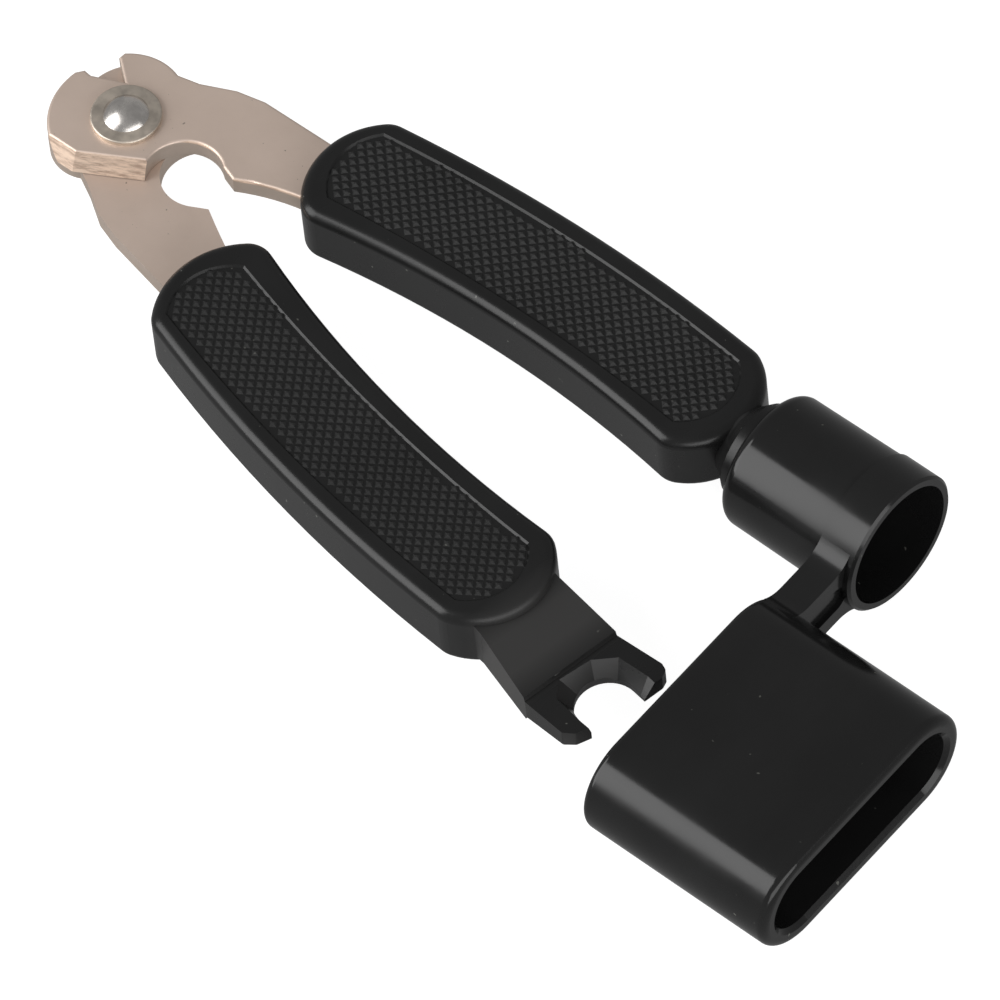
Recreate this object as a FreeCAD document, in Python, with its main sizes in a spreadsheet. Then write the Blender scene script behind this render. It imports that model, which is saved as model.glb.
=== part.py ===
import FreeCAD, Part
import math
import os
import Sketcher
from FreeCAD import Placement, Rotation, Vector

# String winder with a string cutter and a bridge pin puller, laid flat, in millimetres.
# Two levers cross at a rivet. The winder lever carries the spinning crank, the puller lever ends in a fork.
# Every lever piece is drawn with the rivet's axis at x = 0, y = 0, the levers closed and lying along +X,
# and the middle of the grips at z = 0. The puller lever is then turned to its half open rest place.
# The crank is drawn on its own spin axis, with its arm and peg cup towards -Y.

SIZES = {
    # the document's origin is the middle of the footprint, on the table
    "pivot_x": -55.75,
    "pivot_y": 8.935,
    "pivot_z": 8.871,
    "rest_opening": 9.5,
    # blades
    "blade_thickness": 2.2,
    "top_blade_z": -0.7,
    "bottom_blade_z": -2.95,
    "blade_edge_round": 0.35,
    "shoulder_bevel_run": 1.25,
    "shoulder_bevel_depth": 2.1,
    "tang_hole_radius": 1.5,
    "tang_relief": 0.6,
    # rivet and its washer
    "rivet_hole_radius": 2.05,
    "washer_radius": 3.9,
    "washer_z": 1.5,
    "washer_thickness": 0.6,
    "washer_edge": 0.2,
    # grips
    "grip_thickness": 7.8,
    "grip_half_thickness": 3.9,
    "grip_corner": 3.0,
    "grip_top_round": 1.3,
    "grip_under_round": 0.9,
    "panel_depth": 0.22,
    # fork
    "fork_width": 15.0,
    "fork_offset": 10.0,
    "fork_notch_radius": 3.5,
    "seat_top_z": 1.9,
    "seat_bottom_z": -0.8,
    "fork_tip_round": 0.45,
    # spindle and crank
    "hub_y": 9.35,
    "hub_z": 8.571,
    "pilot_radius": 1.4,
    "pilot_depth": 12.0,
    "spindle_end": 84.7,
    "spindle_hole_radius": 3.56,
    "hub_bore_radius": 7.15,
    "hub_bore_depth": 15.4,
    "hub_back": 81.6,
    "hub_mouth": 100.0,
    "arm_back": 95.2,
    "arm_front": 99.1,
    "arm_thickness": 3.9,
    "arm_pocket_depth": 0.6,
    "crank_tilt": 3.2,
    "cup_back": 94.75,
    "cup_depth": 24.85,
    "cup_mouth": 119.6,
    "cup_inside": 22.2,
    "cup_lip_round": 1.0,
    "cup_inner_lip": 0.5,
    "cup_back_round": 0.8,
}

# Outlines of the closed winder lever, on the XY plane. The puller lever mirrors them in y.
HEAD_RADIUS = 8.55
TOP_JAW = ((5.5, -2.1), (12.6, 1.42), (14.5, 0.8), (18.2, 2.45), (22.0, 3.5))
BOTTOM_JAW = ((5.5, -2.3), (12.7, 1.34), (14.1, 0.3), (17.0, 1.35), (21.5, 2.8))
SHOULDER_HOLE = (6.02, -4.07)
SHOULDER_CORNER = (-0.9, -7.98)
SHOULDER_HEAD = (-3.0, -8.006)
TANG = ((28.0, 6.0), (50.0, 8.4), (50.0, 14.0), (26.0, 11.4))
TANG_HOLES = ((33.0, 9.2), (44.0, 10.7))
TOP_OUTER_EDGE = ((20.0, 10.9), (10.4, 10.75), (7.0, 10.0), (3.2, 8.25), (0.6, 7.65))
BOTTOM_OUTER_EDGE = ((20.0, 10.3), (9.9, 9.9), (6.6, 9.4), (3.1, 7.9), (0.3, 7.0))
TOP_NOTCH = ((-5.9, 6.3), (-5.95, 5.45), (-3.3, 3.4), (-6.75, 1.85), (-7.75, 1.95), (-8.4, 1.1))
BOTTOM_NOTCH = ((-5.9, 6.2), (-5.9, 2.4), (-4.7, -0.5), (-7.6, -2.0))

# Grip outlines and the sunk panel in them: jaw end, middle of the inner side, far end, middle of the outer
# side.
WINDER_GRIP = (((24.2, 16.3), (20.4, 8.8), (24.45, 0.95)), (50.0, 3.6),
               ((73.9, 1.9), (79.2, 9.7), (74.1, 17.25)), (50.0, 18.27))
PULLER_GRIP = (((24.0, 15.85), (20.35, 8.7), (24.05, 0.3)), (50.0, 3.12),
               ((73.65, 1.75), (79.1, 9.6), (73.95, 17.15)), (50.0, 18.1))
PANEL = (((24.5, 14.15), (22.6, 9.2), (25.3, 4.0)), (49.0, 5.5),
         ((73.2, 4.5), (76.2, 9.7), (73.6, 14.9)), (50.0, 15.95))
# the slope of the panel's walls in degrees, negative as the panel narrows with depth
PANEL_TAPER = -45.0

# Fork of the puller lever: its outline, its upper side seen from the side, its notch, and the faceted seat
# round the notch as two loops, at the seat's top and bottom.
FORK = ((72.0, -4.6), (78.0, -4.5), (87.0, -4.2), (92.7, -2.9), (93.55, -3.1), (94.0, -4.0), (94.0, -12.9),
        (93.4, -15.2), (92.4, -16.2), (87.0, -16.7), (78.0, -15.15), (72.0, -15.1))
FORK_TOP = ((74.0, 3.1), (86.8, 1.95), (86.95, 1.38), (96.0, 0.9))
FORK_NOTCH = (92.15, -10.0)
FORK_NOTCH_MOUTH = 99.0
SEAT_TOP = ((98.0, -3.9), (92.7, -4.3), (88.8, -5.4), (87.1, -8.0), (86.75, -12.5), (88.3, -14.3),
            (92.0, -14.1), (98.0, -13.6))
SEAT_BOTTOM = ((98.0, -6.5), (93.4, -6.65), (90.4, -7.2), (89.1, -9.1), (89.1, -11.2), (90.0, -12.75),
               (93.4, -13.25), (98.0, -13.2))

# The crank's stadium cup and its arm, on the hub's axis, looking along X.
CUP_NEAR = -20.0
CUP_FAR = -38.9
CUP_RADIUS = 6.4
CUP_INNER_RADIUS = 4.2
ARM_HALF = 3.7
FLARE_RADIUS = 4.0
HUB_RADIUS = 8.2
ARM_POCKET = (-13.6, -9.4, 1.7)


def polar(radius, degrees):
    angle = math.radians(degrees)
    return (radius * math.cos(angle), radius * math.sin(angle))


def corner(point, mirror=1):
    return Vector(point[0], mirror * point[1], 0)


doc = FreeCAD.newDocument("string_winder")
sheet = doc.addObject("Spreadsheet::Sheet", "Sizes")
for row, (alias, number) in enumerate(SIZES.items(), start=1):
    sheet.set(f"A{row}", alias)
    sheet.set(f"B{row}", str(number))
    sheet.setAlias(f"B{row}", alias)
doc.recompute()


def bind(item, path, formula):
    """Bind a property to a formula in which each name of the sheet is written as it is."""
    words = [f"Sizes.{word}" if word in SIZES else word for word in formula.split()]
    item.setExpression(path, " ".join(words))


def make_body(label):
    body = doc.addObject("PartDesign::Body", label.title().replace("_", ""))
    body.Label = label
    return body


def place(item, x="pivot_x", y="pivot_y", z="pivot_z", axis=None, turn=None):
    """Move an item to its place in the document, turned about an axis by a size of the sheet."""
    if turn:
        item.Placement = Placement(Vector(), Rotation(axis, 1.0))
        bind(item, "Placement.Rotation.Angle", turn)
    bind(item, "Placement.Base.x", x)
    bind(item, "Placement.Base.y", y)
    bind(item, "Placement.Base.z", z)
    doc.recompute()


def place_puller(item):
    place(item, axis=Vector(0, 0, -1), turn="rest_opening")


def add_sketch(body, name, role="XY_Plane", offset=None):
    sketch = body.newObject("Sketcher::SketchObject", name)
    plane = next(item for item in body.Origin.OriginFeatures if item.Role == role)
    sketch.AttachmentSupport = [(plane, "")]
    sketch.MapMode = "FlatFace"
    if offset:
        bind(sketch, "AttachmentOffset.Base.z", offset)
    return sketch


def add_circle(sketch, centre, radius, name):
    index = sketch.addGeometry(Part.Circle(corner(centre), Vector(0, 0, 1), SIZES[radius]))
    sketch.addConstraint(Sketcher.Constraint("DistanceX", index, 3, centre[0]))
    sketch.addConstraint(Sketcher.Constraint("DistanceY", index, 3, centre[1]))
    constraint = sketch.addConstraint(Sketcher.Constraint("Radius", index, SIZES[radius]))
    sketch.renameConstraint(constraint, name)
    bind(sketch, f"Constraints.{name}", radius)


def add_loop(sketch, segments, mirror=1):
    """Each segment is a run of points: two are a line, three are an arc through the middle one."""
    for points in segments:
        corners = [corner(point, mirror) for point in points]
        if len(corners) == 2:
            sketch.addGeometry(Part.LineSegment(*corners))
        else:
            sketch.addGeometry(Part.Arc(*corners))


def chain(points, closed=False):
    points = list(points)
    following = points[1:] + points[:1] if closed else points[1:]
    return list(zip(points, following))


def add_feature(body, kind, profile, name, length=None, **options):
    """Add a pad, pocket, revolution or groove, and check that a cut takes something away."""
    cuts = kind in ("Pocket", "Groove")
    before = body.Shape.Volume if cuts else 0
    feature = body.newObject("PartDesign::" + kind, name)
    feature.Profile = profile
    for option, value in options.items():
        setattr(feature, option, value)
    if length:
        bind(feature, "Length", length)
    doc.recompute()
    if cuts and body.Shape.Volume > before - 0.01:
        raise RuntimeError(f"{name} cuts nothing")
    return feature


def add_dressing(body, kind, base, test, size, name, **options):
    """Fillet or chamfer every edge of the base feature that passes the test."""
    names = [f"Edge{number}" for number, edge in enumerate(base.Shape.Edges, start=1) if test(edge)]
    if not names:
        raise RuntimeError(f"{name} finds no edge")
    dressing = body.newObject("PartDesign::" + kind, name)
    dressing.Base = (base, names)
    for option, value in options.items():
        setattr(dressing, option, value)
    bind(dressing, "Radius" if kind == "Fillet" else "Size", size)
    doc.recompute()
    if "Invalid" in dressing.State or dressing.Shape.isNull():
        raise RuntimeError(f"{name} did not compute")
    return dressing


def lies_at(edge, axis, value, tolerance=0.01):
    """True where the whole edge lies in the plane at this value along the axis."""
    box = edge.BoundBox
    low = getattr(box, axis + "Min")
    high = getattr(box, axis + "Max")
    return abs(low - value) < tolerance and abs(high - value) < tolerance


def is_grip_corner(edge):
    box = edge.BoundBox
    return box.XLength < 0.01 and box.YLength < 0.01 and abs(box.ZLength - SIZES["grip_thickness"]) < 0.01


# ---- blades ----
def make_blade(label, outer_edge, jaw, notch, head_arc, shoulder, mirror, bottom):
    """A stamped steel blade: a round head with a notch, half of the jaw hole, a tooth and a tang."""
    body = make_body(label)
    outline = add_sketch(body, label + "_outline", offset=bottom)
    segments = chain(shoulder)
    hole_left, hole_end, tooth, edge_middle, edge_end = jaw
    segments.append((SHOULDER_HOLE, hole_left, hole_end))
    segments.append((hole_end, tooth))
    segments.append((tooth, edge_middle, edge_end))
    segments.extend(chain((edge_end,) + TANG + outer_edge))
    segments.append((outer_edge[-1], (-3.3, 7.75), notch[0]))
    segments.extend(chain(notch))
    segments.append((notch[-1], head_arc, shoulder[0]))
    add_loop(outline, segments, mirror)
    add_feature(body, "Pad", outline, label + "_plate", "blade_thickness")
    holes = add_sketch(body, label + "_holes", offset=bottom)
    add_circle(holes, (0, 0), "rivet_hole_radius", "rivet_hole")
    for number, (x, y) in enumerate(TANG_HOLES, start=1):
        add_circle(holes, (x, mirror * y), "tang_hole_radius", f"tang_hole_{number}")
    drilled = add_feature(body, "Pocket", holes, label + "_hole_cut", "blade_thickness", Reversed=True)
    return body, drilled


BLADE_TOP = SIZES["top_blade_z"] + SIZES["blade_thickness"]
SHOULDER = (SHOULDER_HEAD, SHOULDER_CORNER, SHOULDER_HOLE)


def is_shoulder(edge):
    """True for the two straight top edges between the head and the jaw hole."""
    if not lies_at(edge, "Z", BLADE_TOP):
        return False
    middles = [(corner(start) + corner(end)) / 2 for start, end in chain(SHOULDER)]
    centre = edge.CenterOfMass
    return any(math.hypot(centre.x - middle.x, centre.y - middle.y) < 0.02 for middle in middles)


def is_bare_rim(edge, level):
    """True for the outer edges at a level that stand free of the grip."""
    centre = edge.CenterOfMass
    return lies_at(edge, "Z", level) and centre.x < 24.0 and math.hypot(centre.x, centre.y) > 2.5


top_blade, drilled = make_blade("top_blade", TOP_OUTER_EDGE, TOP_JAW, TOP_NOTCH,
                                polar(HEAD_RADIUS, 205.0), SHOULDER, 1, "top_blade_z")
bevel = add_dressing(top_blade, "Chamfer", drilled, is_shoulder, "shoulder_bevel_depth", "Shoulder_bevel",
                     ChamferType="Two distances")
bind(bevel, "Size2", "shoulder_bevel_run")
doc.recompute()
add_dressing(top_blade, "Fillet", bevel, lambda edge: is_bare_rim(edge, BLADE_TOP), "blade_edge_round",
             "Top_blade_edge")
place(top_blade)

bottom_blade, _ = make_blade("bottom_blade", BOTTOM_OUTER_EDGE, BOTTOM_JAW, BOTTOM_NOTCH,
                             polar(HEAD_RADIUS, 220.0), (SHOULDER_CORNER, SHOULDER_HOLE), -1,
                             "bottom_blade_z")
relief = add_sketch(bottom_blade, "Tang_relief", offset="bottom_blade_z")
add_loop(relief, chain(((25.0, -20.0), (60.0, -20.0), (60.0, 0.0), (25.0, 0.0)), closed=True))
add_feature(bottom_blade, "Pocket", relief, "Tang_relief_cut", "tang_relief", Reversed=True)
place_puller(bottom_blade)

# ---- rivet and washer ----
WASHER_TOP = SIZES["washer_z"] + SIZES["washer_thickness"]
DOME_RADIUS = 2.5
DOME_HEIGHT = 1.2
DOME_BALL = (DOME_RADIUS ** 2 + DOME_HEIGHT ** 2) / (2 * DOME_HEIGHT)
DOME_CENTRE = Vector(0, WASHER_TOP + DOME_HEIGHT - DOME_BALL, 0)
DOME_TOP = (0.0, WASHER_TOP + DOME_HEIGHT)
RIVET_SIDE = (DOME_TOP, (0.0, -3.8), (2.5, -3.8), (2.9, -3.5), (2.9, -3.0), (2.0, -3.0), (2.0, WASHER_TOP),
              (DOME_RADIUS, WASHER_TOP))
pivot_rivet = make_body("pivot_rivet")
profile = add_sketch(pivot_rivet, "Rivet_profile", "XZ_Plane")
add_loop(profile, chain(RIVET_SIDE))
dome_start = math.acos(DOME_RADIUS / DOME_BALL)
ball = Part.Circle(DOME_CENTRE, Vector(0, 0, 1), DOME_BALL)
profile.addGeometry(Part.ArcOfCircle(ball, dome_start, math.pi / 2))
add_feature(pivot_rivet, "Revolution", profile, "Rivet_turned", ReferenceAxis=(profile, ["V_Axis"]),
            Angle=360.0)
place(pivot_rivet)

pivot_washer = make_body("pivot_washer")
ring = add_sketch(pivot_washer, "Washer_ring", offset="washer_z")
add_circle(ring, (0, 0), "washer_radius", "rim")
add_circle(ring, (0, 0), "rivet_hole_radius", "bore")
plain = add_feature(pivot_washer, "Pad", ring, "Washer_disc", "washer_thickness")
add_dressing(pivot_washer, "Fillet", plain, lambda edge: lies_at(edge, "Z", WASHER_TOP), "washer_edge",
             "Washer_edge")
place(pivot_washer)


# ---- handles ----
def outline_segments(shape):
    jaw, inner, far, outer = shape
    return [jaw, (jaw[-1], inner, far[0]), far, (far[-1], outer, jaw[0])]


def make_grip(body, label, grip, mirror):
    """A flat curved grip with rounded rims and a sunk panel on both broad faces."""
    outline = add_sketch(body, label + "_outline")
    add_loop(outline, outline_segments(grip), mirror)
    slab = add_feature(body, "Pad", outline, label + "_slab", "grip_thickness", Midplane=True)
    rounded = add_dressing(body, "Fillet", slab, is_grip_corner, "grip_corner", label + "_corners")
    half = SIZES["grip_half_thickness"]
    upper = add_dressing(body, "Fillet", rounded, lambda edge: lies_at(edge, "Z", half), "grip_top_round",
                         label + "_upper_rim")
    add_dressing(body, "Fillet", upper, lambda edge: lies_at(edge, "Z", -half), "grip_under_round",
                 label + "_under_rim")
    for side, below in (("top", False), ("under", True)):
        level = "-1 * grip_half_thickness" if below else "grip_half_thickness"
        panel = add_sketch(body, f"{label}_{side}_panel", offset=level)
        add_loop(panel, outline_segments(PANEL), mirror)
        add_feature(body, "Pocket", panel, f"{label}_{side}_panel_cut", "panel_depth", Reversed=below,
                    TaperAngle=PANEL_TAPER)


def combine(kind, label, base, tool):
    result = doc.addObject("Part::" + kind, label.title().replace("_", ""))
    result.Base = base
    result.Tool = tool
    result.Label = label
    doc.recompute()
    return result


winder_moulding = make_body("winder_moulding")
make_grip(winder_moulding, "Winder_grip", WINDER_GRIP, 1)
spindle = add_sketch(winder_moulding, "Spindle_profile")
bind(spindle, "AttachmentOffset.Base.y", "hub_y")
bind(spindle, "AttachmentOffset.Base.z", "hub_z - pivot_z")
SPINDLE_END = SIZES["spindle_end"]
SPINDLE = ((76.0, 0.0), (76.0, 2.9), (78.8, 4.4), (80.1, 5.5), (81.45, 5.5), (81.45, 3.5),
           (SPINDLE_END, 3.5), (SPINDLE_END, 0.0))
add_loop(spindle, chain(SPINDLE, closed=True))
add_feature(winder_moulding, "Revolution", spindle, "Spindle_turned", ReferenceAxis=(spindle, ["H_Axis"]),
            Angle=360.0)
pilot = add_sketch(winder_moulding, "Pilot_hole", "YZ_Plane", "spindle_end")
add_circle(pilot, (SIZES["hub_y"], SIZES["hub_z"] - SIZES["pivot_z"]), "pilot_radius", "pilot")
add_feature(winder_moulding, "Pocket", pilot, "Pilot_cut", "pilot_depth")
place(winder_moulding)
# each handle is moulded round its blade's tang, so its plastic fills the tang's holes
winder_handle = combine("Cut", "winder_handle", winder_moulding, top_blade)


puller_moulding = make_body("puller_moulding")
make_grip(puller_moulding, "Puller_grip", PULLER_GRIP, -1)
place_puller(puller_moulding)


def is_tip_corner(edge):
    box = edge.BoundBox
    return box.XLength < 0.01 and box.YLength < 0.01 and box.XMin > 92.0


fork = make_body("fork")
side_view = add_sketch(fork, "Fork_side_view", "XZ_Plane", "fork_offset")
add_loop(side_view, chain(list(FORK_TOP) + [(x, -z) for x, z in reversed(FORK_TOP)], closed=True))
add_feature(fork, "Pad", side_view, "Fork_wedge", "fork_width", Midplane=True)
trim = add_sketch(fork, "Fork_trim")
add_loop(trim, chain(((70.0, -20.0), (99.0, -20.0), (99.0, 0.0), (70.0, 0.0)), closed=True))
add_loop(trim, chain(FORK, closed=True))
trimmed = add_feature(fork, "Pocket", trim, "Fork_trim_cut", "fork_width", Midplane=True)
add_dressing(fork, "Fillet", trimmed, is_tip_corner, "fork_tip_round", "Fork_tips")
notch = add_sketch(fork, "Fork_notch")
reach = SIZES["fork_notch_radius"]
notch_x, notch_y = FORK_NOTCH
near_start = (notch_x, notch_y - reach)
far_start = (notch_x, notch_y + reach)
add_loop(notch, [(far_start, (notch_x - reach, notch_y), near_start),
                 (near_start, (FORK_NOTCH_MOUTH, notch_y - reach)),
                 ((FORK_NOTCH_MOUTH, notch_y - reach), (FORK_NOTCH_MOUTH, notch_y + reach)),
                 ((FORK_NOTCH_MOUTH, notch_y + reach), far_start)])
add_feature(fork, "Pocket", notch, "Fork_notch_cut", "fork_width", Midplane=True)
seat_top = add_sketch(fork, "Seat_top", offset="seat_top_z")
add_loop(seat_top, chain(SEAT_TOP, closed=True))
seat_bottom = add_sketch(fork, "Seat_bottom", offset="seat_bottom_z")
add_loop(seat_bottom, chain(SEAT_BOTTOM, closed=True))
before = fork.Shape.Volume
seat = fork.newObject("PartDesign::SubtractiveLoft", "Fork_seat")
seat.Profile = seat_top
seat.Sections = [seat_bottom]
seat.Ruled = True
doc.recompute()
if fork.Shape.Volume > before - 0.01:
    raise RuntimeError("the fork's seat cuts nothing")
place_puller(fork)
puller_plastic = combine("Fuse", "puller_plastic", puller_moulding, fork)
puller_handle = combine("Cut", "puller_handle", puller_plastic, bottom_blade)


# ---- crank ----
def add_flares(segments, side):
    """The arm's edge on one side, from the hub's rim to the cup, with a hollow flare at both ends."""
    height = ARM_HALF + FLARE_RADIUS
    hub_x = -math.sqrt((HUB_RADIUS + FLARE_RADIUS) ** 2 - height ** 2)
    cup_x = CUP_NEAR + math.sqrt((CUP_RADIUS + FLARE_RADIUS) ** 2 - height ** 2)
    touches = []
    arm_ends = []
    for centre_x, round_x, radius in ((hub_x, 0.0, HUB_RADIUS), (cup_x, CUP_NEAR, CUP_RADIUS)):
        touch_angle = math.atan2(-height, round_x - centre_x)
        middle_angle = (touch_angle - math.pi / 2) / 2
        points = []
        for angle in (touch_angle, middle_angle, -math.pi / 2):
            across = height + FLARE_RADIUS * math.sin(angle)
            points.append((centre_x + FLARE_RADIUS * math.cos(angle), side * across))
        segments.append(tuple(points))
        touches.append(points[0])
        arm_ends.append(points[-1])
    segments.append(tuple(arm_ends))
    return touches


def stadium(radius):
    """The cup's section: two half circles joined by straight sides."""
    near = [(CUP_NEAR, -radius), (CUP_NEAR + radius, 0.0), (CUP_NEAR, radius)]
    far = [(CUP_FAR, radius), (CUP_FAR - radius, 0.0), (CUP_FAR, -radius)]
    return [tuple(near), (near[-1], far[0]), tuple(far), (far[-1], near[0])]


winder_crank = make_body("winder_crank")
outside = add_sketch(winder_crank, "Cup_outside", "YZ_Plane", "cup_back")
add_loop(outside, stadium(CUP_RADIUS))
cup = add_feature(winder_crank, "Pad", outside, "Cup_block", "cup_depth")
rounded = add_dressing(winder_crank, "Fillet", cup, lambda edge: lies_at(edge, "X", SIZES["cup_back"]),
                       "cup_back_round", "Cup_back_edge")
inside = add_sketch(winder_crank, "Cup_inside", "YZ_Plane", "cup_mouth")
add_loop(inside, stadium(CUP_INNER_RADIUS))
hollow = add_feature(winder_crank, "Pocket", inside, "Cup_cavity", "cup_inside")
MOUTH = SIZES["cup_mouth"]


def is_lip(edge, inner):
    """True for the edges of the mouth's outer lip, or of its inner one."""
    reach = max(edge.BoundBox.ZMax, -edge.BoundBox.ZMin)
    return lies_at(edge, "X", MOUTH) and (reach < CUP_INNER_RADIUS + 0.1) == inner


lip = add_dressing(winder_crank, "Fillet", hollow, lambda edge: is_lip(edge, False), "cup_lip_round",
                   "Cup_outer_lip")
add_dressing(winder_crank, "Chamfer", lip, lambda edge: is_lip(edge, True), "cup_inner_lip", "Cup_inner_lip")
arm = add_sketch(winder_crank, "Arm_outline", "YZ_Plane", "arm_back")
arm_segments = []
upper_hub, upper_cup = add_flares(arm_segments, 1)
lower_hub, lower_cup = add_flares(arm_segments, -1)
arm_segments.append((upper_hub, (HUB_RADIUS, 0.0), lower_hub))
arm_segments.append((upper_cup, lower_cup))
add_loop(arm, arm_segments)
add_feature(winder_crank, "Pad", arm, "Arm_slab", "arm_thickness")
hub = add_sketch(winder_crank, "Hub_profile")
BACK = SIZES["hub_back"]
ARM_BACK = SIZES["arm_back"]
HUB_MOUTH = SIZES["hub_mouth"]
add_loop(hub, [((BACK, 0.0), (BACK, 6.5)), ((BACK, 6.5), (BACK + 0.4, 7.45), (BACK + 1.35, 7.85)),
               ((BACK + 1.35, 7.85), (ARM_BACK, 7.97)), ((ARM_BACK, 7.97), (ARM_BACK, HUB_RADIUS)),
               ((ARM_BACK, HUB_RADIUS), (HUB_MOUTH - 0.3, HUB_RADIUS)),
               ((HUB_MOUTH - 0.3, HUB_RADIUS), (HUB_MOUTH, HUB_RADIUS - 0.3)),
               ((HUB_MOUTH, HUB_RADIUS - 0.3), (HUB_MOUTH, 0.0)), ((HUB_MOUTH, 0.0), (BACK, 0.0))])
add_feature(winder_crank, "Revolution", hub, "Hub_turned", ReferenceAxis=(hub, ["H_Axis"]), Angle=360.0)
bore = add_sketch(winder_crank, "Hub_bore", "YZ_Plane", "hub_mouth")
add_circle(bore, (0, 0), "hub_bore_radius", "bore")
add_feature(winder_crank, "Pocket", bore, "Hub_bore_cut", "hub_bore_depth")
eye = add_sketch(winder_crank, "Spindle_hole", "YZ_Plane", "hub_mouth")
add_circle(eye, (0, 0), "spindle_hole_radius", "hole")
add_feature(winder_crank, "Pocket", eye, "Spindle_hole_cut", "cup_inside")
dimple = add_sketch(winder_crank, "Arm_pocket", "YZ_Plane", "arm_front")
near, far, half = ARM_POCKET
add_loop(dimple, [((near, -half), (near, half)), ((near, half), (far, half)),
                  ((far, half), (far + half, 0.0), (far, -half)), ((far, -half), (near, -half))])
add_feature(winder_crank, "Pocket", dimple, "Arm_pocket_cut", "arm_pocket_depth")
place(winder_crank, y="pivot_y + hub_y", z="hub_z", axis=Vector(1, 0, 0), turn="crank_tilt")

crank_screw = make_body("crank_screw")
profile = add_sketch(crank_screw, "Screw_profile")
WASHER_FACE = SPINDLE_END + 0.8
SCREW = ((74.0, 0.0), (75.0, 1.35), (WASHER_FACE, 1.35), (WASHER_FACE, 3.0), (86.7, 3.0), (87.6, 2.2),
         (87.6, 0.0))
add_loop(profile, chain(SCREW, closed=True))
add_feature(crank_screw, "Revolution", profile, "Screw_turned", ReferenceAxis=(profile, ["H_Axis"]),
            Angle=360.0)
place(crank_screw, y="pivot_y + hub_y", z="hub_z")

crank_washer = make_body("crank_washer")
profile = add_sketch(crank_washer, "Crank_washer_profile")
WASHER = ((SPINDLE_END, 1.5), (SPINDLE_END, 5.8), (WASHER_FACE, 5.8), (WASHER_FACE, 1.5))
add_loop(profile, chain(WASHER, closed=True))
add_feature(crank_washer, "Revolution", profile, "Crank_washer_turned", ReferenceAxis=(profile, ["H_Axis"]),
            Angle=360.0)
place(crank_washer, y="pivot_y + hub_y", z="hub_z")

# ---- check and write ----
NODES = (top_blade, bottom_blade, pivot_rivet, pivot_washer, winder_handle, puller_handle, winder_crank,
         crank_screw, crank_washer)
doc.recompute()
for item in doc.Objects:
    if "Invalid" in item.State or "Error" in item.State:
        raise RuntimeError(f"{item.Label} did not compute")
os.makedirs("parts", exist_ok=True)
for node in NODES:
    if node.Shape.isNull() or not node.Shape.isValid() or len(node.Shape.Solids) != 1:
        raise RuntimeError(f"{node.Label} is not one valid solid")
    node.Shape.exportStep(f"parts/{node.Label}.step")
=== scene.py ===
import math

import bmesh
import bpy
from mathutils import Matrix, Vector


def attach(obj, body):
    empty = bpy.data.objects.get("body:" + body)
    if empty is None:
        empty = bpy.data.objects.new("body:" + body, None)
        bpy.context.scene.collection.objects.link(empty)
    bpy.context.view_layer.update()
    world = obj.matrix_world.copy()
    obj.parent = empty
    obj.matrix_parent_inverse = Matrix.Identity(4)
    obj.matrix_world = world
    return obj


# The string winder's looks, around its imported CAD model, in metres.
# The CAD nodes are shown as they are, with node materials. The knurling of both grips' panels is made here, as
# meshes of its own.

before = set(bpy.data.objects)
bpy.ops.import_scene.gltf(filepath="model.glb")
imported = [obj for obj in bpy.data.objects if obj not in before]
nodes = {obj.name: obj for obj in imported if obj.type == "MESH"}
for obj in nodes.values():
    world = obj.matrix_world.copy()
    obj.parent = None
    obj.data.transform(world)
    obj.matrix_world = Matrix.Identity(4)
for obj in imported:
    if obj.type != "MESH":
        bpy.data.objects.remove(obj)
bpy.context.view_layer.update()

PIVOT = Vector((-0.05575, 0.008935, 0.008871))
REST_OPENING = math.radians(9.5)
MM = 0.001
MM_PER_METRE = 1000
SQUARE_CORNERS = ((-1, -1), (1, -1), (1, 1), (-1, 1))


# ---- node materials ----
# the sockets of a Mix node that mixes colours
MIX_FACTOR = 0
MIX_FIRST = 6
MIX_SECOND = 7
MIX_RESULT = 2


def result_of(node):
    """The output that carries a colour ramp's or a Mix node's result."""
    return node.outputs[MIX_RESULT if node.bl_idname == "ShaderNodeMix" else 0]


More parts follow.
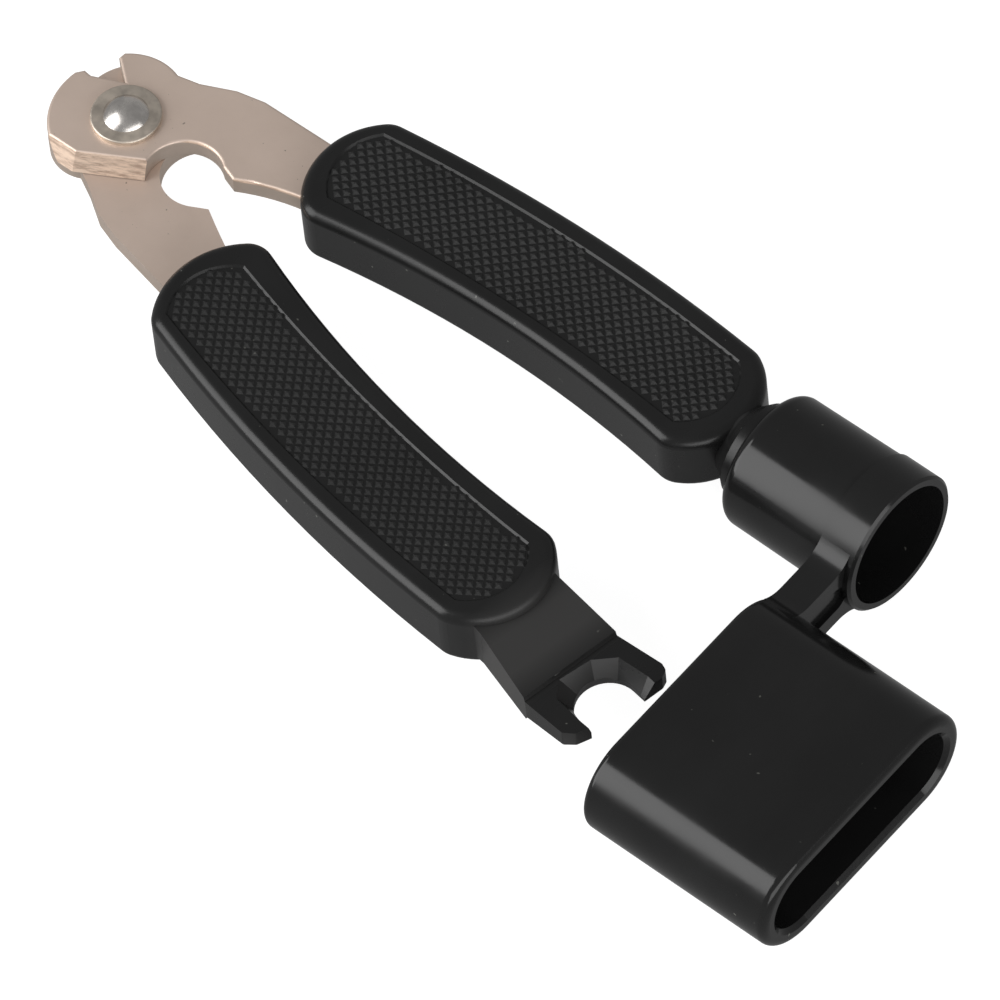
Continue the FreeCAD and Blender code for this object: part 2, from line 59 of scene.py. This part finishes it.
class Material:
    """A node material with short ways to add and join its nodes."""

    def __init__(self, name):
        self.material = bpy.data.materials.new(name)
        self.material.use_nodes = True
        self.tree = self.material.node_tree
        self.tree.nodes.clear()
        output = self.add("ShaderNodeOutputMaterial")
        self.shader = self.add("ShaderNodeBsdfPrincipled")
        self.join(self.shader, "BSDF", output, "Surface")
        self.place = self.add("ShaderNodeTexCoord")

    def add(self, kind, **values):
        node = self.tree.nodes.new(kind)
        for name, value in values.items():
            if name in node.inputs:
                node.inputs[name].default_value = value
            else:
                setattr(node, name, value)
        return node

    def join(self, source, output, target, socket):
        self.tree.links.new(source.outputs[output], target.inputs[socket])

    def set(self, **values):
        for name, value in values.items():
            self.shader.inputs[name.replace("_", " ")].default_value = value

    def mapped(self, scale=(1, 1, 1), rotation=(0, 0, 0)):
        """The object's own coordinates in millimetres, turned and stretched."""
        mapping = self.add("ShaderNodeMapping")
        mapping.inputs["Scale"].default_value = [MM_PER_METRE * value for value in scale]
        mapping.inputs["Rotation"].default_value = rotation
        self.join(self.place, "Object", mapping, "Vector")
        return mapping

    def noise(self, scale, detail=4.0, roughness=0.55, stretch=(1, 1, 1), rotation=(0, 0, 0)):
        noise = self.add("ShaderNodeTexNoise", Scale=scale, Detail=detail, Roughness=roughness)
        self.join(self.mapped(stretch, rotation), "Vector", noise, "Vector")
        return noise

    def ramp(self, source, output, *stops):
        """A colour ramp of (position, colour) stops; a bare number as colour is a grey."""
        ramp = self.add("ShaderNodeValToRGB")
        points = ramp.color_ramp.elements
        while len(points) < len(stops):
            points.new(0.5)
        for point, (position, colour) in zip(points, stops):
            point.position = position
            point.color = (colour, colour, colour, 1) if isinstance(colour, (int, float)) else (*colour, 1)
        self.join(source, output, ramp, "Fac")
        return ramp

    def mix(self, factor, first, second, blend="MIX"):
        """Mix two colours, each a node or a plain colour, by a number or a node."""
        mix = self.add("ShaderNodeMix", data_type="RGBA", blend_type=blend)
        if isinstance(factor, float):
            mix.inputs[MIX_FACTOR].default_value = factor
        else:
            self.tree.links.new(result_of(factor), mix.inputs[MIX_FACTOR])
        for socket, colour in ((MIX_FIRST, first), (MIX_SECOND, second)):
            if isinstance(colour, tuple):
                mix.inputs[socket].default_value = (*colour, 1)
            else:
                self.tree.links.new(result_of(colour), mix.inputs[socket])
        return mix

    def bump(self, *layers):
        """Stack bumps; each layer is (node, output, strength, distance in millimetres)."""
        last = None
        for source, output, strength, distance in layers:
            bump = self.add("ShaderNodeBump", Strength=strength, Distance=distance * MM)
            self.join(source, output, bump, "Height")
            if last:
                self.join(last, "Normal", bump, "Normal")
            last = bump
        self.join(last, "Normal", self.shader, "Normal")

    def skin(self, colour, roughness):
        """Let two nodes give the shader's colour and roughness."""
        self.tree.links.new(result_of(colour), self.shader.inputs["Base Color"])
        self.tree.links.new(result_of(roughness), self.shader.inputs["Roughness"])


# the direction that the top blade's bevelled step faces
BARE_FACING = (0.25, -0.82, 0.51)


def nickel_steel(name, bare_step):
    """Satin nickel plate with fine grain, faint stains, dark specks and painted shade that darkens its upright
    walls.

    bare_step adds rough copper undercoat where a face looks the way the step beside the jaw hole does.
    """
    plate = Material(name)
    plate.set(Metallic=0.7)
    cloud = plate.noise(0.12, detail=5.0)
    broad = plate.ramp(cloud, "Fac", (0.3, (0.73, 0.59, 0.50)), (0.7, (0.80, 0.65, 0.555)))
    # painted shade: the upright walls get a darker copy of the plate's tone, and faces that look up keep the
    # lighter one
    shaded_wall_tone = plate.ramp(cloud, "Fac", (0.3, (0.48, 0.40, 0.335)), (0.7, (0.60, 0.50, 0.43)))
    split = plate.add("ShaderNodeSeparateXYZ")
    plate.join(plate.place, "Normal", split, "Vector")
    upward = plate.ramp(split, "Z", (0.30, 0.0), (0.75, 1.0))
    tone = plate.mix(upward, shaded_wall_tone, broad)
    grain = plate.noise(5.0, detail=6.0, roughness=0.7)
    specks = plate.noise(1.9, detail=2.0, roughness=0.4)
    spots = plate.ramp(specks, "Fac", (0.755, 0.0), (0.80, 1.0))
    spotted = plate.mix(spots, tone, (0.33, 0.28, 0.23))
    sheen = plate.ramp(grain, "Fac", (0.3, 0.44), (0.7, 0.54))
    scratches = plate.noise(2.2, detail=3.0, stretch=(0.25, 6.0, 1.0), rotation=(0, 0, 0.5))
    if bare_step:
        facing = plate.add("ShaderNodeVectorMath", operation="DOT_PRODUCT")
        facing.inputs[1].default_value = BARE_FACING
        plate.join(plate.place, "Normal", facing, 0)
        bare = plate.ramp(facing, "Value", (0.90, 0.0), (0.94, 1.0))
        streaks = plate.noise(0.8, detail=6.0, roughness=0.7, stretch=(0.5, 0.5, 4.0))
        copper = plate.ramp(streaks, "Fac", (0.36, (0.42, 0.30, 0.23)), (0.58, (0.80, 0.62, 0.49)))
        spotted = plate.mix(bare, spotted, copper)
    plate.skin(spotted, sheen)
    plate.bump((grain, "Fac", 0.25, 0.012), (scratches, "Fac", 0.2, 0.006))
    return plate.material


def turned_steel(name, colour, roughness, ring_strength):
    """Steel turned on the lever rivet's axis, with fine rings and some dull patches."""
    steel = Material(name)
    steel.set(Metallic=1.0)
    centred = steel.add("ShaderNodeMapping")
    centred.inputs["Location"].default_value = [-MM_PER_METRE * value for value in PIVOT]
    centred.inputs["Scale"].default_value = (MM_PER_METRE, MM_PER_METRE, MM_PER_METRE)
    steel.join(steel.place, "Object", centred, "Vector")
    rings = steel.add("ShaderNodeTexWave", wave_type="RINGS", rings_direction="Z", Scale=3.2, Distortion=0.6,
                      Detail=2.0)
    steel.join(centred, "Vector", rings, "Vector")
    patches = steel.noise(0.6, detail=5.0)
    low = tuple(0.72 * channel for channel in colour)
    steel.skin(steel.ramp(patches, "Fac", (0.35, low), (0.65, colour)),
               steel.ramp(patches, "Fac", (0.3, roughness), (0.7, roughness + 0.12)))
    scratches = steel.noise(3.0, detail=3.0, stretch=(0.3, 4.0, 1.0), rotation=(0, 0, 0.9))
    steel.bump((rings, "Fac", ring_strength, 0.01), (scratches, "Fac", 0.15, 0.005))
    return steel.material


# Where the fork's duller skin and its seat's painted highlight change: two places along the resting puller
# lever, and two heights.
# Each is the narrow range over which the change takes place.
PULLER_ALONG = Vector((math.cos(REST_OPENING), -math.sin(REST_OPENING), 0.0))
RIVET_ALONG = PIVOT.dot(PULLER_ALONG)
FORK_START = (RIVET_ALONG + 0.0765, RIVET_ALONG + 0.0780)
FORK_STEP = (RIVET_ALONG + 0.08685, RIVET_ALONG + 0.08690)
FORK_LEVEL = (PIVOT.z + 0.0031, PIVOT.z + 0.0034)
SEAT_LEVEL = (PIVOT.z + 0.00131, PIVOT.z + 0.00134)


def fork_mask(plastic):
    """White on the fork's slope and on the facets of its seat that face the tips, where the lighter grey is a
    painted highlight; black elsewhere.
    """
    along, facing = (plastic.add("ShaderNodeVectorMath", operation="DOT_PRODUCT") for _ in range(2))
    for source, dot in (("Object", along), ("Normal", facing)):
        dot.inputs[1].default_value = PULLER_ALONG
        plastic.join(plastic.place, source, dot, 0)
    split = plastic.add("ShaderNodeSeparateXYZ")
    plastic.join(plastic.place, "Object", split, "Vector")
    past_grip = plastic.ramp(along, "Value", (FORK_START[0], 0.0), (FORK_START[1], 1.0))
    below_face = plastic.ramp(split, "Z", (FORK_LEVEL[0], 1.0), (FORK_LEVEL[1], 0.0))
    fork = plastic.mix(1.0, past_grip, below_face, blend="MULTIPLY")
    slope = plastic.ramp(along, "Value", (FORK_STEP[0], 1.0), (FORK_STEP[1], 0.0))
    # painted highlight: the seat's facets that face the tips are picked by the way they face
    to_tips = plastic.ramp(facing, "Value", (0.45, 0.0), (0.55, 1.0))
    below_step = plastic.ramp(split, "Z", (SEAT_LEVEL[0], 1.0), (SEAT_LEVEL[1], 0.0))
    seat = plastic.mix(1.0, to_tips, below_step, blend="MULTIPLY")
    either = plastic.mix(1.0, slope, seat, blend="LIGHTEN")
    return plastic.mix(1.0, fork, either, blend="MULTIPLY")


def moulded_plastic(name, roughness, grain_strength, speck_scale, tone=1.0, fork_matte_and_highlight=False):
    """Black moulded plastic: a soft grain, smeared gloss, hairline scratches and a few specks of dust.

    A larger tone is a greyer black. The fork switch gives the fork's slope a duller and greyer skin, and the
    facets of its seat that face the tips the same skin, whose grey there is a painted highlight.
    """
    plastic = Material(name)
    plastic.set(IOR=1.5, Specular_IOR_Level=0.32)
    smear = plastic.noise(0.09, detail=5.0, stretch=(1.0, 0.6, 1.0))
    gloss = plastic.ramp(smear, "Fac", (0.3, roughness - 0.03), (0.7, roughness + 0.06))
    dust = plastic.noise(speck_scale, detail=1.0, roughness=0.3)
    spots = plastic.ramp(dust, "Fac", (0.79, 0.0), (0.83, 1.0))
    dark = plastic.ramp(smear, "Fac", (0.3, 0.0085 * tone), (0.7, 0.0120 * tone))
    spotted = plastic.mix(spots, dark, (0.10, 0.10, 0.09))
    if fork_matte_and_highlight:
        # the fork's slope gets a duller, greyer skin; on the seat's tip-facing facets the same grey is a
        # painted highlight
        matte = fork_mask(plastic)
        gloss = plastic.mix(matte, gloss, (0.46, 0.46, 0.46))
        spotted = plastic.mix(matte, spotted, (0.036, 0.0352, 0.0345))
    plastic.skin(spotted, gloss)
    grain = plastic.noise(2.6, detail=3.0)
    scratches = plastic.noise(1.2, detail=2.0, stretch=(0.15, 5.0, 1.0), rotation=(0, 0, 0.7))
    plastic.bump((grain, "Fac", grain_strength, 0.01), (scratches, "Fac", 0.12, 0.004))
    return plastic.material


FINISHES = {
    "top_blade": nickel_steel("satin_nickel_top", True),
    "bottom_blade": nickel_steel("satin_nickel_under", False),
    "pivot_rivet": turned_steel("polished_rivet", (0.80, 0.76, 0.72), 0.20, 0.12),
    "pivot_washer": turned_steel("dull_washer", (0.72, 0.64, 0.55), 0.42, 0.35),
    "crank_screw": turned_steel("screw_steel", (0.55, 0.55, 0.54), 0.30, 0.10),
    "crank_washer": turned_steel("hub_washer_steel", (0.42, 0.41, 0.39), 0.34, 0.20),
    "winder_handle": moulded_plastic("half_gloss_grip", 0.26, 0.20, 1.5),
    "puller_handle": moulded_plastic("half_gloss_fork_grip", 0.26, 0.20, 1.5, fork_matte_and_highlight=True),
    "winder_crank": moulded_plastic("gloss_crank", 0.13, 0.08, 1.1),
}
for name, material in FINISHES.items():
    slots = nodes[name].data.materials
    slots.clear()
    slots.append(material)

# The knurls' plastic is the grips' black with a greyer tone (2.2): a painted highlight standing in for the
# light caught on the pyramids' tips.
KNURL_HIGHLIGHT_MATERIAL = moulded_plastic("knurled_plastic_painted_highlight", 0.34, 0.30, 1.5, tone=2.2)

# ---- knurled panels ----
# The sunk panel's four sides, each an arc through three points on the winder lever, in millimetres from PIVOT.
# KNURL_START is one pyramid's middle, and KNURL_REACH is how many rows are tried on each side of it.
# KNURL_HALF_FOOT is a share of the pitch. KNURL_FLAT is the tips' width as a share of the feet's.
PANEL_OUTER = ((24.5, 14.15), (50.0, 15.95), (73.6, 14.9))
PANEL_INNER = ((25.3, 4.0), (49.0, 5.5), (73.2, 4.5))
PANEL_JAW = ((24.5, 14.15), (22.6, 9.2), (25.3, 4.0))
PANEL_FAR = ((73.6, 14.9), (76.2, 9.7), (73.2, 4.5))
PANEL_LEVEL = 3.66
PANEL_MARGIN = 0.47
KNURL_PITCH = 1.0
KNURL_HALF_FOOT = 0.41
KNURL_HEIGHT = 0.30
KNURL_START = Vector((49.0, 10.5))
KNURL_REACH = 40
KNURL_LEAN = math.radians(46.0)
KNURL_FLAT = 0.25


def circle_through(first, second, third):
    """Centre and radius of the circle through three points."""
    (ax, ay), (bx, by), (cx, cy) = first, second, third
    double = 2 * (ax * (by - cy) + bx * (cy - ay) + cx * (ay - by))
    a_square, b_square, c_square = ax * ax + ay * ay, bx * bx + by * by, cx * cx + cy * cy
    x = (a_square * (by - cy) + b_square * (cy - ay) + c_square * (ay - by)) / double
    y = (a_square * (cx - bx) + b_square * (ax - cx) + c_square * (bx - ax)) / double
    return x, y, math.hypot(ax - x, ay - y)


OUTER_ARC, INNER_ARC, JAW_ARC, FAR_ARC = (circle_through(*arc) for arc in
                                          (PANEL_OUTER, PANEL_INNER, PANEL_JAW, PANEL_FAR))


def inside_panel(x, y, margin):
    """True where a point of the closed winder lever lies in the sunk panel, this far from its sides."""
    def depth(arc):
        return arc[2] - math.hypot(x - arc[0], y - arc[1])
    return (depth(OUTER_ARC) > margin and depth(INNER_ARC) < -margin
            and (x > JAW_ARC[0] or depth(JAW_ARC) > margin) and (x < FAR_ARC[0] or depth(FAR_ARC) > margin))


def make_knurl(name, mirror, turn, side, body):
    """One panel's field of small blunt pyramids, on the grip's upper face (side 1) or under face (side -1)."""
    mesh = bmesh.new()
    step_u = Vector((math.cos(KNURL_LEAN), math.sin(KNURL_LEAN))) * KNURL_PITCH
    step_v = Vector((-math.sin(KNURL_LEAN), math.cos(KNURL_LEAN))) * KNURL_PITCH
    sin, cos = math.sin(turn), math.cos(turn)

    def vertex(point, height):
        x, y = point.x, mirror * point.y
        place = Vector((x * cos - y * sin, x * sin + y * cos, side * (PANEL_LEVEL + height))) * MM
        return mesh.verts.new(PIVOT + place)

    for column in range(-KNURL_REACH, KNURL_REACH + 1):
        for row in range(-KNURL_REACH, KNURL_REACH + 1):
            centre = KNURL_START + step_u * column + step_v * row
            if not inside_panel(centre.x, centre.y, PANEL_MARGIN):
                continue
            corners = [centre + (step_u * a + step_v * b) * KNURL_HALF_FOOT for a, b in SQUARE_CORNERS]
            tips = [centre + (corner - centre) * KNURL_FLAT for corner in corners]
            low = [vertex(corner, 0.0) for corner in corners]
            high = [vertex(tip, KNURL_HEIGHT) for tip in tips]
            mesh.faces.new(high)
            mesh.faces.new(list(reversed(low)))
            for index in range(4):
                following = (index + 1) % 4
                mesh.faces.new((low[index], low[following], high[following], high[index]))
    bmesh.ops.recalc_face_normals(mesh, faces=mesh.faces[:])
    data = bpy.data.meshes.new(name)
    mesh.to_mesh(data)
    mesh.free()
    piece = bpy.data.objects.new(name, data)
    bpy.context.scene.collection.objects.link(piece)
    data.materials.append(KNURL_HIGHLIGHT_MATERIAL)
    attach(piece, body)


for side, word in ((1, "top"), (-1, "under")):
    make_knurl(f"winder_knurl_{word}", 1, 0.0, side, "winder_side")
    make_knurl(f"puller_knurl_{word}", -1, -REST_OPENING, side, "puller_side")

# ---- floor, light and camera ----
FLOOR_HALF_SIZE = 3.0
floor_mesh = bpy.data.meshes.new("floor")
floor_corners = [(x * FLOOR_HALF_SIZE, y * FLOOR_HALF_SIZE, 0.0) for x, y in SQUARE_CORNERS]
floor_mesh.from_pydata(floor_corners, [], [(0, 1, 2, 3)])
floor = bpy.data.objects.new("floor", floor_mesh)
bpy.context.scene.collection.objects.link(floor)
paper = Material("white_paper")
paper.set(Roughness=0.9, Emission_Strength=0.91, Emission_Color=(1, 1, 1, 1))
paper_tone = paper.ramp(paper.noise(0.02), "Fac", (0.3, 0.34), (0.7, 0.36))
paper.join(paper_tone, "Color", paper.shader, "Base Color")
floor_mesh.materials.append(paper.material)
floor.visible_glossy = False


def add_light(name, azimuth, elevation, distance, size, power):
    """A soft rectangular light that shines on the tool from an azimuth and an elevation, in degrees."""
    light = bpy.data.lights.new(name, "AREA")
    light.shape = "RECTANGLE"
    light.size, light.size_y = size
    light.energy = power
    lamp = bpy.data.objects.new(name, light)
    bpy.context.scene.collection.objects.link(lamp)
    a, e = math.radians(azimuth), math.radians(elevation)
    away = Vector((math.sin(a) * math.cos(e), -math.cos(a) * math.cos(e), math.sin(e)))
    lamp.location = away * distance
    lamp.rotation_euler = away.to_track_quat("Z", "Y").to_euler()


add_light("key", -42.0, 32.0, 0.9, (0.62, 0.80), 6.8)
add_light("right_fill", 70.0, 21.0, 1.0, (1.3, 0.5), 6.0)

world = bpy.data.worlds.new("studio")
world.use_nodes = True
sky = world.node_tree.nodes["Background"]
sky.inputs["Color"].default_value = (1.0, 1.0, 1.0, 1.0)
sky.inputs["Strength"].default_value = 0.32
bpy.context.scene.world = world
bpy.context.scene.view_settings.view_transform = "Standard"

# The camera looks down at the tool from the right, turned a little on its own axis, with a long lens.
CAMERA_AZIMUTH = math.radians(46.3)
CAMERA_ELEVATION = math.radians(54.6)
CAMERA_ROLL = math.radians(6.6)
CAMERA_DISTANCE = 1.6043
CAMERA_LENS = 540.0
back = Vector((math.sin(CAMERA_AZIMUTH) * math.cos(CAMERA_ELEVATION),
               -math.cos(CAMERA_AZIMUTH) * math.cos(CAMERA_ELEVATION), math.sin(CAMERA_ELEVATION)))
level_right = Vector((math.cos(CAMERA_AZIMUTH), math.sin(CAMERA_AZIMUTH), 0.0))
level_up = back.cross(level_right)
right = level_right * math.cos(CAMERA_ROLL) - level_up * math.sin(CAMERA_ROLL)
up = level_right * math.sin(CAMERA_ROLL) + level_up * math.cos(CAMERA_ROLL)
# the point that the camera looks at, measured from one on the rivet's axis
BELOW_PIVOT = 0.0009
AIM_RIGHT = 0.03975
AIM_DOWN = 0.03957
aim = Vector((PIVOT.x, PIVOT.y, PIVOT.z - BELOW_PIVOT)) + right * AIM_RIGHT - up * AIM_DOWN
camera_data = bpy.data.cameras.new("camera")
camera_data.lens = CAMERA_LENS
camera_data.sensor_width = 36.0
camera_data.clip_end = 20.0
camera = bpy.data.objects.new("camera", camera_data)
bpy.context.scene.collection.objects.link(camera)
turn = Matrix((right, up, back)).transposed().to_4x4()
camera.matrix_world = Matrix.Translation(aim + back * CAMERA_DISTANCE) @ turn
bpy.context.scene.camera = camera
